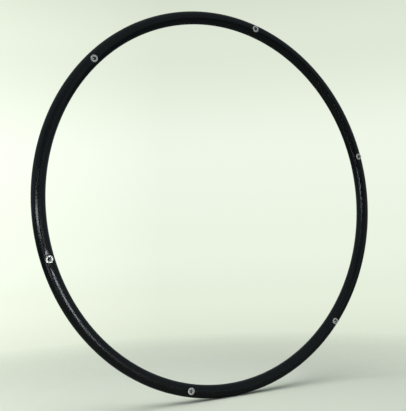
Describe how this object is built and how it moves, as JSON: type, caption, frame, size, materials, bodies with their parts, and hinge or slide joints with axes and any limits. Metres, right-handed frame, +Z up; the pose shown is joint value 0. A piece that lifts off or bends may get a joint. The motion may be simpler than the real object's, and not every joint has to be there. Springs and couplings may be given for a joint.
{
  "type": "juggling ring",
  "caption": "Large round-tube manipulation hoop of black plastic pipe with flanged threaded inserts evenly spaced on its front face.",
  "frame": {"origin": "the hoop's centre, on the plane of the pipe's centreline", "axes": "the hoop stands upright in the XZ plane with +Z up; +Y runs along the hoop's axis towards its back face, and the inserts open towards -Y, the front; the first insert is 15.85 degrees from +X towards +Z"},
  "size_m": [0.9098, 0.032, 0.9099],
  "materials": {
    "pipe_black": "extruded black polyethylene, semi-gloss",
    "coupler_grey": "moulded grey nylon",
    "insert_zinc": "turned steel, bright zinc plate",
    "rivet_aluminium": "plain aluminium, domed",
    "mandrel_steel": "bare broken steel"
  },
  "bodies": {
    "root": {"hoop_pipe": "pipe_black", "threaded_insert_1": "insert_zinc", "threaded_insert_2": "insert_zinc", "threaded_insert_3": "insert_zinc", "threaded_insert_4": "insert_zinc", "threaded_insert_5": "insert_zinc", "threaded_insert_6": "insert_zinc", "splice_coupler": "coupler_grey", "splice_rivet_1": "rivet_aluminium", "splice_rivet_2": "rivet_aluminium", "rivet_mandrel_1": "mandrel_steel", "rivet_mandrel_2": "mandrel_steel"}
  },
  "joints": []
}
